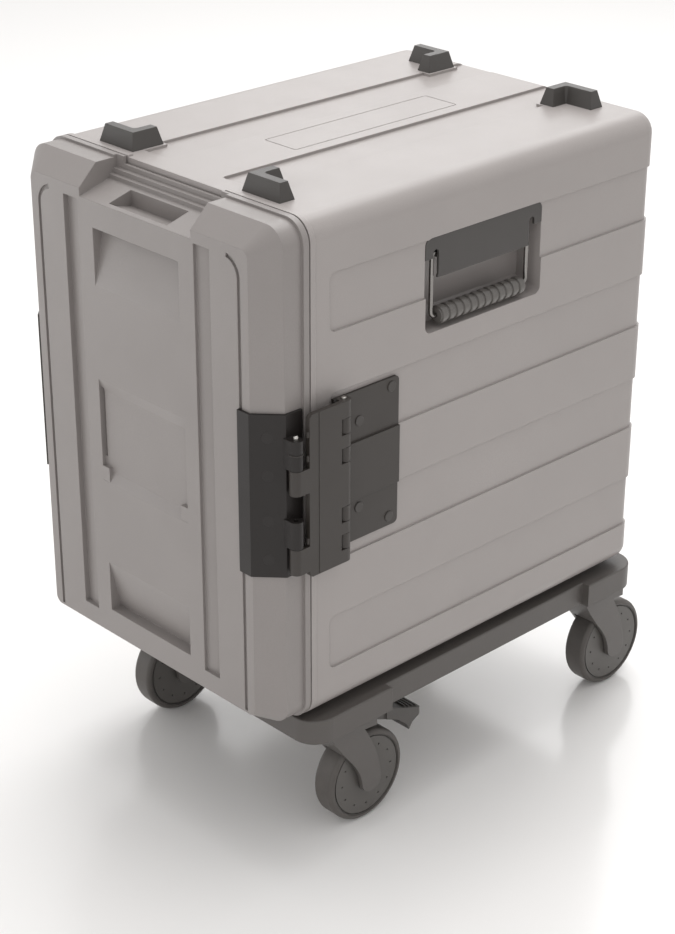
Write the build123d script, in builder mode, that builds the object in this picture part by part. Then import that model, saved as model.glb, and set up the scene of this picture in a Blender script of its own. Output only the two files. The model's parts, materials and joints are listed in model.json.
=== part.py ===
"""Front-loading insulated food carrier with a double-pivot door, standing on a four-castor trolley.

Millimetres. +Z is up, the door faces -Y and the hinge is on the +X side.
The origin is on the floor, under the middle of the whole assembly.
"""

import os

from build123d import *

os.makedirs("parts", exist_ok=True)

# ---- driving dimensions: insulated body ------------------------------------
BODY_WIDTH = 440.0
BODY_HEIGHT = 616.0
BODY_DEPTH = 586.0
BODY_BOTTOM_Z = 212.0
SEAM_Y = -295.75
WALL = 4.0
TOP_RADIUS = 26.0
BOTTOM_RADIUS = 20.0
REAR_RADIUS = 18.0
LIP = 4.0

BODY_TOP_Z = BODY_BOTTOM_Z + BODY_HEIGHT
BODY_REAR_Y = SEAM_Y + BODY_DEPTH
HALF_WIDTH = BODY_WIDTH / 2

# relief bands pressed into the side and rear walls
BAND_DEPTH = 2.5
BAND_HEIGHT = 69.5
BAND_PITCH = 142.2
BAND_COUNT = 4
BAND_LOWEST_Z = 265.6
BAND_SETBACK = 30.0

# channels along the top wall
CHANNEL_INNER_X = 45.0
CHANNEL_OUTER_X = 104.0
CHANNEL_DEPTH = 3.5
CHANNEL_SETBACK = 30.0

# blank field on the top wall, framed by a fine groove
FIELD_MID_Y = SEAM_Y + 293.8
FIELD_WIDTH = 55.0
FIELD_LENGTH = 272.0
FIELD_GROOVE = 1.3
FIELD_DEPTH = 0.8

# ---- driving dimensions: food chamber --------------------------------------
CHAMBER_HALF_WIDTH = 167.5
CHAMBER_BOTTOM_Z = BODY_BOTTOM_Z + 50.0
CHAMBER_TOP_Z = BODY_TOP_Z - 50.0
CHAMBER_REAR_Y = BODY_REAR_Y - 42.0
LINER_WALL = 3.0
LINER_RADIUS = 16.0
FLANGE_HALF_WIDTH = 200.0
FLANGE_MARGIN_Z = 30.0
LEDGE_COUNT = 12
LEDGE_PITCH = 38.5
LEDGE_REACH = 12.0
LEDGE_THICKNESS = 7.0
LEDGE_FIRST_Z = CHAMBER_BOTTOM_Z + 42.0

# ---- driving dimensions: stacking studs ------------------------------------
STUD_INNER_X = 95.0
STUD_LENGTH_X = 62.0
STUD_LENGTH_Y = 46.0
STUD_ARM = 22.0
STUD_HEIGHT = 21.0
STUD_TAPER = 14.0
STUD_FRONT_Y = SEAM_Y + 38.5
STUD_REAR_Y = SEAM_Y + 530.0
STACK_CLEARANCE = 2.0

# ---- driving dimensions: door ----------------------------------------------
DOOR_GAP = 2.0
DOOR_BACK_Y = SEAM_Y - DOOR_GAP
FACET_BACK_Y = SEAM_Y - 36.0
DOOR_FRONT_Y = SEAM_Y - 62.0
SIDE_SETBACK = 1.5
FRONT_HALF_WIDTH = 191.0
FRONT_BOTTOM_Z = BODY_BOTTOM_Z + 14.0
FRONT_TOP_Z = BODY_TOP_Z - 26.0
FRONT_RADIUS = 10.0
DOOR_WALL = 4.0
RIM_PROUD = 2.0
RIM_DEPTH = 8.0
RIM_DIP_LENGTH = 170.0
DOOR_MID_Z = BODY_BOTTOM_Z + BODY_HEIGHT / 2
GAP_HALF_LENGTH = 98.0
FINGER_HALF_LENGTH = 51.0
GROOVE_X = 176.0
HOLDER_HALF_WIDTH = 79.0
HOLDER_DEPTH = 5.0

# ---- driving dimensions: hinge and closure ---------------------------------
PIVOT_X = 232.0
REAR_PIVOT_Y = SEAM_Y + 40.0
HINGE_FRONT_Y = SEAM_Y - 32.0
LATCH_FRONT_Y = SEAM_Y - 18.0
KNUCKLE_RADIUS = 8.0
PIN_RADIUS = 3.0
RUNNING_CLEARANCE = 0.06
FLAP_THICKNESS = 6.0
FLAP_BOTTOM_Z = 415.0
FLAP_TOP_Z = 616.0

PLATE_BOTTOM_Z = 424.0
PLATE_TOP_Z = 612.0
PLATE_REAR_Y = SEAM_Y + 138.0
PLATE_THICKNESS = 3.5
RIVET_PLACES = [(126.0, 601.0), (75.0, 574.0), (75.0, 465.0), (124.0, 436.0)]
RIVET_RADIUS = 2.5
RIVET_HEAD_RADIUS = 6.5
RIVET_HEAD_HEIGHT = 1.3
RIVET_CHAMFER = 0.6

# ---- driving dimensions: carrying handles ----------------------------------
POCKET_MID_Y = SEAM_Y + 278.5
POCKET_LENGTH = 197.0
POCKET_BOTTOM_Z = 648.0
POCKET_TOP_Z = 763.0
POCKET_DEPTH = 39.0
HANDLE_PIVOT_X = 211.0
HANDLE_PIVOT_Z = 741.0
HANDLE_DROP = 78.0
HANDLE_HALF_SPAN = 81.0
WIRE_RADIUS = 2.75
GRIP_RADIUS = 11.0
GRIP_RIBS = 12

# ---- driving dimensions: trolley and castors -------------------------------
TROLLEY_TOP_Z = 204.0
TROLLEY_HEIGHT = 32.0
PAD_HALF_WIDTH = 230.0
RAIL_HALF_WIDTH = 219.0
TROLLEY_FRONT_Y = SEAM_Y - 5.0
TROLLEY_REAR_Y = SEAM_Y + 596.0
PAD_LENGTH = 132.0
SWIVEL_X = 178.0
SWIVEL_FRONT_Y = SEAM_Y + 80.5
SWIVEL_REAR_Y = SEAM_Y + 555.5
WHEEL_RADIUS = 62.5
WHEEL_WIDTH = 32.0
TRAIL = 39.0
FORK_TOP_Z = 169.0


def save(part, name):
    """Label one finished piece and write it to its own file."""
    part.label = name
    export_step(part, f"parts/{name}.step")


def plane_y(y):
    """Upright drawing plane at one depth: X to the right, Z up, normal towards the front."""
    return Plane.XZ.offset(-y)


def plane_x(x):
    """Upright drawing plane at one side distance: Y to the right, Z up, normal towards +X."""
    return Plane.YZ.offset(x)


# ============================================================================
# Insulated body
# ============================================================================


def body_envelope(inset):
    """Rounded outer block of the body, pulled in by one inset on every side but the front."""
    with BuildPart() as envelope:
        with BuildSketch(plane_y(SEAM_Y)) as outline:
            with Locations((0, BODY_BOTTOM_Z + BODY_HEIGHT / 2)):
                Rectangle(BODY_WIDTH - 2 * inset, BODY_HEIGHT - 2 * inset)
            top_corners = outline.vertices().group_by(Axis.Y)[-1]
            fillet(top_corners, TOP_RADIUS - inset)
            bottom_corners = outline.vertices().group_by(Axis.Y)[0]
            fillet(bottom_corners, BOTTOM_RADIUS - inset)
        extrude(amount=-(BODY_DEPTH - inset))
        rear_edges = envelope.faces().sort_by(Axis.Y)[-1].edges()
        fillet(rear_edges, REAR_RADIUS - inset)
    return envelope.part


def stud_outline(x_side, y_side, grow):
    """L-shaped outline of one stacking stud; its corner points to the middle in X and to y_side in Y."""
    length_x = STUD_LENGTH_X + 2 * grow
    length_y = STUD_LENGTH_Y + 2 * grow
    arm = STUD_ARM + 2 * grow
    corner_x = x_side * (STUD_INNER_X - grow)
    corner_y = (STUD_REAR_Y if y_side > 0 else STUD_FRONT_Y) + y_side * (STUD_LENGTH_Y / 2 + grow)
    with BuildSketch() as outline:
        with Locations((corner_x + x_side * length_x / 2, corner_y - y_side * arm / 2)):
            Rectangle(length_x, arm)
        with Locations((corner_x + x_side * arm / 2, corner_y - y_side * length_y / 2)):
            Rectangle(arm, length_y)
    return outline.sketch


def stud_group(base_z, height, grow, taper):
    """The four studs, or the four sockets that they enter, standing on one level."""
    with BuildPart() as studs:
        for x_side in (-1, 1):
            for y_side in (-1, 1):
                with BuildSketch(Plane.XY.offset(base_z)):
                    add(stud_outline(x_side, y_side, grow))
                extrude(amount=height, taper=taper)
    return studs.part


def band_cutter():
    """The relief bands: four levels that wrap both sides and the rear wall."""
    with BuildPart() as bands:
        for level in range(BAND_COUNT):
            middle_z = BAND_LOWEST_Z + level * BAND_PITCH + BAND_HEIGHT / 2
            with Locations((0, BODY_REAR_Y - BODY_DEPTH / 2 + BAND_SETBACK, middle_z)):
                Box(BODY_WIDTH + 20, BODY_DEPTH, BAND_HEIGHT)
        front_corners = bands.edges().filter_by(Axis.X).group_by(Axis.Y)[0]
        fillet(front_corners, 9)
        add(body_envelope(BAND_DEPTH), mode=Mode.SUBTRACT)
    return bands.part


def handle_pocket(side, grow):
    """Rounded pocket for one carrying handle, its back wall leaning out at the top."""
    mouth_x = HALF_WIDTH + 5
    floor_x = HALF_WIDTH - POCKET_DEPTH - grow
    with BuildPart() as pocket:
        with BuildSketch(plane_y(POCKET_MID_Y - POCKET_LENGTH / 2 - grow)):
            with BuildLine():
                Polyline(
                    (side * mouth_x, POCKET_BOTTOM_Z - grow),
                    (side * (floor_x + 10), POCKET_BOTTOM_Z - grow),
                    (side * floor_x, POCKET_BOTTOM_Z + 14),
                    (side * floor_x, POCKET_TOP_Z - 45),
                    (side * (floor_x + 12), POCKET_TOP_Z + grow),
                    (side * mouth_x, POCKET_TOP_Z + grow),
                    close=True,
                )
            make_face()
        extrude(amount=-(POCKET_LENGTH + 2 * grow))
        fillet(pocket.edges().filter_by(Axis.X), 9 + grow)
    return pocket.part


def liner_block(inset):
    """Outside (inset 0) or inside (inset LINER_WALL) of the chamber liner, open at the seam."""
    outer_half = CHAMBER_HALF_WIDTH + LINER_WALL
    height = CHAMBER_TOP_Z - CHAMBER_BOTTOM_Z + 2 * LINER_WALL
    rear_y = CHAMBER_REAR_Y + LINER_WALL - inset
    with BuildPart() as block:
        with BuildSketch(plane_y(SEAM_Y)):
            with Locations((0, (CHAMBER_TOP_Z + CHAMBER_BOTTOM_Z) / 2)):
                RectangleRounded(2 * (outer_half - inset), height - 2 * inset, LINER_RADIUS - inset)
        extrude(amount=-(rear_y - SEAM_Y))
    return block.part


def liner_flange():
    """Flat frame around the chamber mouth, level with the seam, that the door gasket meets."""
    height = CHAMBER_TOP_Z - CHAMBER_BOTTOM_Z + 2 * FLANGE_MARGIN_Z
    with BuildPart() as flange:
        with BuildSketch(plane_y(SEAM_Y)):
            with Locations((0, (CHAMBER_TOP_Z + CHAMBER_BOTTOM_Z) / 2)):
                RectangleRounded(2 * FLANGE_HALF_WIDTH, height, 22)
        extrude(amount=-LIP)
    return flange.part


def rim_bead():
    """Light bead around the mouth of the body, beside the seam."""
    with BuildPart() as bead:
        with BuildSketch(plane_y(SEAM_Y)):
            with Locations((0, DOOR_MID_Z)):
                RectangleRounded(
                    BODY_WIDTH + 2 * RIM_PROUD, BODY_HEIGHT + 2 * RIM_PROUD, TOP_RADIUS + RIM_PROUD
                )
        extrude(amount=-RIM_DEPTH)
        fillet(bead.edges().filter_by_position(Axis.Y, SEAM_Y + 1, SEAM_Y + RIM_DEPTH + 1), 1.8)
        with Locations((0, SEAM_Y + RIM_DEPTH / 2, BODY_TOP_Z + RIM_PROUD)):
            Box(RIM_DIP_LENGTH, 2 * RIM_DEPTH, 2 * RIM_PROUD, mode=Mode.SUBTRACT)
    return bead.part


def top_field_groove():
    """Fine groove that frames the blank field in the middle of the top wall."""
    with BuildPart() as groove:
        with BuildSketch(Plane.XY.offset(BODY_TOP_Z - FIELD_DEPTH)):
            with Locations((0, FIELD_MID_Y)):
                RectangleRounded(FIELD_WIDTH, FIELD_LENGTH, 4)
                RectangleRounded(
                    FIELD_WIDTH - 2 * FIELD_GROOVE,
                    FIELD_LENGTH - 2 * FIELD_GROOVE,
                    4 - FIELD_GROOVE,
                    mode=Mode.SUBTRACT,
                )
        extrude(amount=2 * FIELD_DEPTH)
    return groove.part


BODY_OUTER = body_envelope(0)
BANDS = band_cutter()
SOCKET_DEPTH = STUD_HEIGHT + STACK_CLEARANCE
SOCKETS = stud_group(BODY_BOTTOM_Z, SOCKET_DEPTH, STACK_CLEARANCE, STUD_TAPER)
SOCKET_TUBS = stud_group(BODY_BOTTOM_Z, SOCKET_DEPTH + WALL, STACK_CLEARANCE + WALL, STUD_TAPER)
LINER_OUTSIDE = liner_block(0)
LINER_INSIDE = liner_block(LINER_WALL)
FLANGE = liner_flange()

with BuildPart() as body_foam:
    add(body_envelope(WALL))
    with Locations((0, SEAM_Y, BODY_BOTTOM_Z + BODY_HEIGHT / 2)):
        Box(2 * BODY_WIDTH, 2 * LIP, 2 * BODY_HEIGHT, mode=Mode.SUBTRACT)
    add(LINER_OUTSIDE, mode=Mode.SUBTRACT)
    add(SOCKET_TUBS, mode=Mode.SUBTRACT)
    for side in (-1, 1):
        add(handle_pocket(side, WALL - 1), mode=Mode.SUBTRACT)
        with Locations((side * (CHANNEL_INNER_X + CHANNEL_OUTER_X) / 2, 0, BODY_TOP_Z)):
            Box(
                CHANNEL_OUTER_X - CHANNEL_INNER_X + WALL,
                2 * BODY_DEPTH,
                2 * (CHANNEL_DEPTH + WALL),
                mode=Mode.SUBTRACT,
            )
    for level in range(BAND_COUNT):
        band_mid_z = BAND_LOWEST_Z + level * BAND_PITCH + BAND_HEIGHT / 2
        with BuildSketch(Plane.XY.offset(band_mid_z - BAND_HEIGHT / 2 - 2)):
            with Locations((0, BODY_REAR_Y - BODY_DEPTH / 2)):
                Rectangle(2 * BODY_WIDTH, 2 * BODY_DEPTH)
                Rectangle(
                    BODY_WIDTH - 2 * (WALL + BAND_DEPTH),
                    BODY_DEPTH - 2 * (WALL + BAND_DEPTH),
                    mode=Mode.SUBTRACT,
                )
            with Locations((0, SEAM_Y)):
                Rectangle(2 * BODY_WIDTH, 2 * BAND_SETBACK - WALL, mode=Mode.SUBTRACT)
        extrude(amount=BAND_HEIGHT + 4, mode=Mode.SUBTRACT)
save(body_foam.part, "body_foam")

with BuildPart() as body_outer_shell:
    add(BODY_OUTER)
    add(rim_bead())
    add(BANDS, mode=Mode.SUBTRACT)
    for side in (-1, 1):
        add(handle_pocket(side, 0), mode=Mode.SUBTRACT)
        channel_y = SEAM_Y + CHANNEL_SETBACK
        with BuildSketch(Plane.XY.offset(BODY_TOP_Z - CHANNEL_DEPTH)):
            with Locations((side * (CHANNEL_INNER_X + CHANNEL_OUTER_X) / 2, channel_y + BODY_DEPTH / 2)):
                RectangleRounded(CHANNEL_OUTER_X - CHANNEL_INNER_X, BODY_DEPTH, 5)
            for y_side in (-1, 1):
                add(stud_outline(side, y_side, 3), mode=Mode.SUBTRACT)
        extrude(amount=2 * CHANNEL_DEPTH, mode=Mode.SUBTRACT)
    add(top_field_groove(), mode=Mode.SUBTRACT)
    add(SOCKETS, mode=Mode.SUBTRACT)
    add(body_foam.part, mode=Mode.SUBTRACT)
    add(LINER_OUTSIDE, mode=Mode.SUBTRACT)
    add(FLANGE, mode=Mode.SUBTRACT)
    for side in (-1, 1):
        with Locations((side * 180, SEAM_Y + BODY_DEPTH / 2, (BODY_BOTTOM_Z + TROLLEY_TOP_Z) / 2)):
            Box(22, BODY_DEPTH - 120, BODY_BOTTOM_Z - TROLLEY_TOP_Z)
        for setback, height in RIVET_PLACES:
            with Locations(Location((side * HALF_WIDTH, SEAM_Y + setback, height), (0, 90, 0))):
                Cylinder(RIVET_RADIUS, 12, mode=Mode.SUBTRACT)
save(body_outer_shell.part, "body_outer_shell")

with BuildPart() as body_liner:
    add(LINER_OUTSIDE)
    add(FLANGE)
    add(LINER_INSIDE, mode=Mode.SUBTRACT)
    ledge_length = CHAMBER_REAR_Y - SEAM_Y - 46
    for side in (-1, 1):
        for level in range(LEDGE_COUNT):
            with BuildSketch(plane_y(SEAM_Y + 26)):
                with BuildLine():
                    root_z = LEDGE_FIRST_Z + level * LEDGE_PITCH
                    wall_x = CHAMBER_HALF_WIDTH + 0.5
                    tip_x = CHAMBER_HALF_WIDTH - LEDGE_REACH
                    Polyline(
                        (side * wall_x, root_z),
                        (side * tip_x, root_z),
                        (side * tip_x, root_z - LEDGE_THICKNESS * 0.5),
                        (side * wall_x, root_z - LEDGE_THICKNESS * 1.6),
                        close=True,
                    )
                make_face()
            extrude(amount=-ledge_length)
save(body_liner.part, "body_liner")

with BuildPart() as stacking_studs:
    add(stud_group(BODY_TOP_Z, STUD_HEIGHT, 0, STUD_TAPER))
save(stacking_studs.part, "stacking_studs")


# ============================================================================
# Door
# ============================================================================


def door_section(y, half_width, bottom_z, top_z, radius):
    """One rounded outline of the door, at one depth."""
    with BuildSketch(plane_y(y)) as section:
        with Locations((0, (bottom_z + top_z) / 2)):
            RectangleRounded(2 * half_width, top_z - bottom_z, radius)
    return section.sketch


def door_envelope(inset):
    """Straight side and the facet that leads to the front face, pulled in by one inset."""
    half = HALF_WIDTH - SIDE_SETBACK - inset
    low = BODY_BOTTOM_Z + 1 + inset
    high = BODY_TOP_Z - 1 - inset
    radius = TOP_RADIUS - inset / 2
    with BuildPart() as straight:
        add(door_section(DOOR_BACK_Y, half, low, high, radius))
        add(door_section(FACET_BACK_Y, half, low, high, radius))
        loft(ruled=True)
    with BuildPart() as facet:
        add(door_section(FACET_BACK_Y, half, low, high, radius))
        add(
            door_section(
                DOOR_FRONT_Y + inset,
                FRONT_HALF_WIDTH - inset / 2,
                FRONT_BOTTOM_Z + inset / 2,
                FRONT_TOP_Z - inset / 2,
                FRONT_RADIUS - inset / 2,
            )
        )
        loft(ruled=True)
    return straight.part + facet.part


DOOR_OUTER = door_envelope(0)


def cut_along_x(points, half_length):
    """Prism between -half_length and +half_length, from an outline of (y, z) points."""
    with BuildPart() as prism:
        with BuildSketch(plane_x(-half_length)):
            with BuildLine():
                Polyline(*points, close=True)
            make_face()
        extrude(amount=2 * half_length)
    return prism.part


def door_top_cuts(grow):
    """Gap between the two top corner blocks, stepped at its back, and the finger pocket in its floor."""
    outside_y = DOOR_FRONT_Y - 10
    roof_z = BODY_TOP_Z + 20
    floor_z = BODY_TOP_Z - 36 - grow
    step_y = SEAM_Y - 18 + grow
    step_z = floor_z + 12
    gap = [
        (outside_y, floor_z),
        (DOOR_FRONT_Y, floor_z),
        (step_y, step_z),
        (step_y, step_z + 5),
        (step_y + 6, step_z + 5),
        (step_y + 6, step_z + 11),
        (step_y + 12, step_z + 11),
        (step_y + 12, roof_z),
        (outside_y, roof_z),
    ]
    pocket_front_y = DOOR_FRONT_Y + 6 - grow
    pocket_back_y = SEAM_Y - 24 + grow
    pocket = [
        (pocket_front_y, floor_z + grow + 8),
        (pocket_front_y, floor_z - 2),
        (pocket_back_y, floor_z - 9),
        (pocket_back_y, floor_z + grow + 14),
    ]
    with BuildPart() as cuts:
        add(cut_along_x(gap, GAP_HALF_LENGTH + grow))
        add(cut_along_x(pocket, FINGER_HALF_LENGTH + grow))
    return cuts.part


def door_front_cuts(grow):
    """Shallow shapes pressed into the door's front: two wedges, two channels and the card holder."""
    outside_y = DOOR_FRONT_Y - 10
    deep_y = DOOR_FRONT_Y + 16 + grow
    skin_y = DOOR_FRONT_Y + grow
    upper_wedge = [
        (outside_y, 760 + grow),
        (deep_y, 760 + grow),
        (skin_y, 689 - grow),
        (outside_y, 689 - grow),
    ]
    lower_wedge = [
        (outside_y, 260 - grow),
        (deep_y, 260 - grow),
        (skin_y, 327 + grow),
        (outside_y, 327 + grow),
    ]
    holder = [
        (outside_y, 572 + grow),
        (skin_y, 572 + grow),
        (skin_y + HOLDER_DEPTH, 556 + grow),
        (skin_y + HOLDER_DEPTH, 452 - grow),
        (skin_y, 438 - grow),
        (outside_y, 438 - grow),
    ]
    with BuildPart() as cuts:
        add(cut_along_x(upper_wedge, 76 + grow))
        add(cut_along_x(lower_wedge, 76 + grow))
        add(cut_along_x(holder, HOLDER_HALF_WIDTH + grow))
        with Locations((-HOLDER_HALF_WIDTH + 2, skin_y, 515), (HOLDER_HALF_WIDTH - 2, skin_y, 515)):
            Box(4 + 2 * grow, 2 * (HOLDER_DEPTH + 3), 90 + 2 * grow)
        for side in (-1, 1):
            with BuildSketch(Plane.XY.offset(251 - grow)):
                with BuildLine():
                    Polyline(
                        (side * (102 - grow), outside_y),
                        (side * (102 - grow), skin_y + 4),
                        (side * (129 + grow), skin_y + 7),
                        (side * (129 + grow), outside_y),
                        close=True,
                    )
                make_face()
            extrude(amount=537 + 2 * grow)
    return cuts.part


def holder_tabs():
    """Two tabs at the card holder's lower corners, level with the front face."""
    with BuildPart() as tabs:
        for side in (-1, 1):
            with Locations((side * (HOLDER_HALF_WIDTH - 6), DOOR_FRONT_Y + HOLDER_DEPTH / 2 + 0.5, 449)):
                Box(13, HOLDER_DEPTH + 1, 18)
    return tabs.part


def door_side_grooves():
    """Narrow upright grooves near the edges of the front face; each bends to the middle at its top."""
    bend = 24
    straight_top_z = 766
    with BuildPart() as grooves:
        for side in (-1, 1):
            with BuildSketch(plane_y(DOOR_FRONT_Y - 10)):
                with BuildLine() as path:
                    Line((side * GROOVE_X, 229), (side * GROOVE_X, straight_top_z))
                    CenterArc(
                        (side * (GROOVE_X - bend), straight_top_z),
                        bend,
                        0 if side > 0 else 180,
                        80 if side > 0 else -80,
                    )
                trace(path.line, line_width=5)
            extrude(amount=-13)
    return grooves.part


def inner_panel_outline(margin):
    """Outline of the door's inner panel, grown by a margin."""
    with BuildSketch() as outline:
        RectangleRounded(412 + 2 * margin, 588 + 2 * margin, 20 + margin)
    return outline.sketch


PANEL_THICKNESS = 4.0
RAISED_FIELD = 1.5
GASKET_HALF_WIDTH = 184.0
GASKET_HALF_HEIGHT = 273.0
GASKET_WIDTH = 9.6
GROOVE_DEPTH = 2.5


def gasket_ring(width, y, depth):
    """Rounded rectangular ring on the gasket's centre line, from one depth towards the front."""
    with BuildPart() as ring:
        with BuildSketch(plane_y(y)):
            with Locations((0, DOOR_MID_Z)):
                RectangleRounded(2 * GASKET_HALF_WIDTH + width, 2 * GASKET_HALF_HEIGHT + width, 22)
                RectangleRounded(
                    2 * GASKET_HALF_WIDTH - width,
                    2 * GASKET_HALF_HEIGHT - width,
                    22 - width,
                    mode=Mode.SUBTRACT,
                )
        extrude(amount=depth)
    return ring.part


with BuildPart() as door_inner_panel:
    with BuildSketch(plane_y(DOOR_BACK_Y)):
        with Locations((0, DOOR_MID_Z)):
            add(inner_panel_outline(0))
    extrude(amount=PANEL_THICKNESS)
    with BuildSketch(plane_y(DOOR_BACK_Y)):
        with Locations((0, (CHAMBER_TOP_Z + CHAMBER_BOTTOM_Z) / 2)):
            RectangleRounded(2 * (CHAMBER_HALF_WIDTH - 5.5), CHAMBER_TOP_Z - CHAMBER_BOTTOM_Z - 8, 14)
    extrude(amount=-RAISED_FIELD)
    add(gasket_ring(GASKET_WIDTH + 0.4, DOOR_BACK_Y, GROOVE_DEPTH), mode=Mode.SUBTRACT)
save(door_inner_panel.part, "door_inner_panel")

with BuildPart() as door_gasket:
    add(gasket_ring(GASKET_WIDTH, SEAM_Y - 0.3, DOOR_GAP + GROOVE_DEPTH - 0.3))
    sealing_edges = door_gasket.faces().sort_by(Axis.Y)[-1].edges()
    fillet(sealing_edges, 1.5)
save(door_gasket.part, "door_gasket")

with BuildPart() as door_foam:
    add(door_envelope(DOOR_WALL))
    with Locations((0, DOOR_BACK_Y, DOOR_MID_Z)):
        Box(2 * BODY_WIDTH, 2 * PANEL_THICKNESS, 2 * BODY_HEIGHT, mode=Mode.SUBTRACT)
    add(door_top_cuts(DOOR_WALL), mode=Mode.SUBTRACT)
    add(door_front_cuts(DOOR_WALL), mode=Mode.SUBTRACT)
save(door_foam.part, "door_foam")

with BuildPart() as door_outer_shell:
    add(DOOR_OUTER)
    with BuildSketch(plane_y(DOOR_BACK_Y)):
        with Locations((0, DOOR_MID_Z)):
            RectangleRounded(
                BODY_WIDTH + 2 * RIM_PROUD, BODY_HEIGHT + 2 * RIM_PROUD, TOP_RADIUS + RIM_PROUD
            )
    extrude(amount=RIM_DEPTH)
    with Locations((0, DOOR_BACK_Y, BODY_TOP_Z + 4)):
        Box(RIM_DIP_LENGTH, 4 * RIM_DEPTH, 22, mode=Mode.SUBTRACT)
    add(door_top_cuts(0), mode=Mode.SUBTRACT)
    add(door_front_cuts(0), mode=Mode.SUBTRACT)
    add(holder_tabs())
    add(door_side_grooves(), mode=Mode.SUBTRACT)
    add(door_foam.part, mode=Mode.SUBTRACT)
    with BuildSketch(plane_y(DOOR_BACK_Y + 1)):
        with Locations((0, DOOR_MID_Z)):
            add(inner_panel_outline(0))
    extrude(amount=PANEL_THICKNESS + 1, mode=Mode.SUBTRACT)


# ============================================================================
# Hinge on the +X side, closure on the -X side
# ============================================================================

BODY_KNUCKLES = [(432.0, 451.0), (467.0, 486.0), (541.0, 559.0), (576.0, 595.0)]
DOOR_KNUCKLES = [(455.5, 489.5), (552.5, 588.5)]
FLAP_KNUCKLES = [(423.0, 455.0), (522.0, 552.0)]
SCREW_Z = [437.0, 486.0, 542.0, 588.0]
SCREW_RADIUS = 2.0
SCREW_HEAD_RADIUS = 7.0
LIP_REACH = 20.0
SADDLE_OPENING = 20.0


def knuckle(x, y, low_z, high_z, radius=KNUCKLE_RADIUS):
    """Upright barrel around one pivot."""
    with BuildPart() as barrel:
        with Locations((x, y, (low_z + high_z) / 2)):
            Cylinder(radius, high_z - low_z)
    return barrel.part


def pivot_bore(x, y, radius):
    """Upright bore through the whole height of the hinge."""
    return knuckle(x, y, FLAP_BOTTOM_Z - 10, FLAP_TOP_Z + 10, radius)


def body_plate(side):
    """Plate riveted to the body's side: it steps over the raised band and carries four knuckles."""
    recess_x = HALF_WIDTH - BAND_DEPTH
    band_low_z = BAND_LOWEST_Z + BAND_PITCH + BAND_HEIGHT
    band_high_z = BAND_LOWEST_Z + 2 * BAND_PITCH
    step_mid_z = (band_low_z + band_high_z) / 2
    step_height = band_high_z - band_low_z
    front_y = REAR_PIVOT_Y - 5
    middle_y = (front_y + PLATE_REAR_Y) / 2
    with BuildPart() as plate:
        with BuildSketch(plane_x(side * recess_x)) as outline:
            with Locations((middle_y, (PLATE_BOTTOM_Z + PLATE_TOP_Z) / 2)):
                Rectangle(PLATE_REAR_Y - front_y, PLATE_TOP_Z - PLATE_BOTTOM_Z)
            fillet(outline.vertices().group_by(Axis.X)[-1], 6)
        extrude(amount=side * PLATE_THICKNESS)
        with BuildSketch(plane_x(side * recess_x)):
            with Locations((middle_y, step_mid_z)):
                Rectangle(PLATE_REAR_Y - front_y, step_height)
        extrude(amount=side * (BAND_DEPTH + PLATE_THICKNESS))
        with Locations((side * (HALF_WIDTH - 5), middle_y, step_mid_z)):
            Box(10, 2 * BODY_DEPTH, step_height, mode=Mode.SUBTRACT)
        for low_z, high_z in BODY_KNUCKLES:
            with Locations((side * (recess_x + PIVOT_X) / 2, REAR_PIVOT_Y + 1, (low_z + high_z) / 2)):
                Box(PIVOT_X - recess_x, 12, high_z - low_z)
            add(knuckle(side * PIVOT_X, REAR_PIVOT_Y, low_z, high_z))
        with Locations((side * (HALF_WIDTH - 10), REAR_PIVOT_Y, step_mid_z)):
            Box(20, 60, step_height, mode=Mode.SUBTRACT)
        add(pivot_bore(side * PIVOT_X, REAR_PIVOT_Y, PIN_RADIUS), mode=Mode.SUBTRACT)
        for setback, height in RIVET_PLACES:
            with Locations(Location((side * HALF_WIDTH, SEAM_Y + setback, height), (0, 90, 0))):
                Cylinder(RIVET_RADIUS, 30, mode=Mode.SUBTRACT)
        add(body_outer_shell.part, mode=Mode.SUBTRACT)
    return plate.part


def body_rivets(side):
    """Four flat-headed rivets through the body plate into the shell."""
    head_x = HALF_WIDTH - BAND_DEPTH + PLATE_THICKNESS
    top_x = head_x + RIVET_HEAD_HEIGHT
    root_x = HALF_WIDTH - 6
    with BuildPart() as rivets:
        for setback, height in RIVET_PLACES:
            with BuildSketch(plane_y(SEAM_Y + setback)):
                with BuildLine():
                    Polyline(
                        (side * root_x, height),
                        (side * top_x, height),
                        (side * top_x, height + RIVET_HEAD_RADIUS - RIVET_CHAMFER),
                        (side * (top_x - RIVET_CHAMFER), height + RIVET_HEAD_RADIUS),
                        (side * head_x, height + RIVET_HEAD_RADIUS),
                        (side * head_x, height + RIVET_RADIUS),
                        (side * root_x, height + RIVET_RADIUS),
                        close=True,
                    )
                make_face()
            revolve(axis=Axis((0, SEAM_Y + setback, height), (1, 0, 0)))
    return rivets.part


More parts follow.
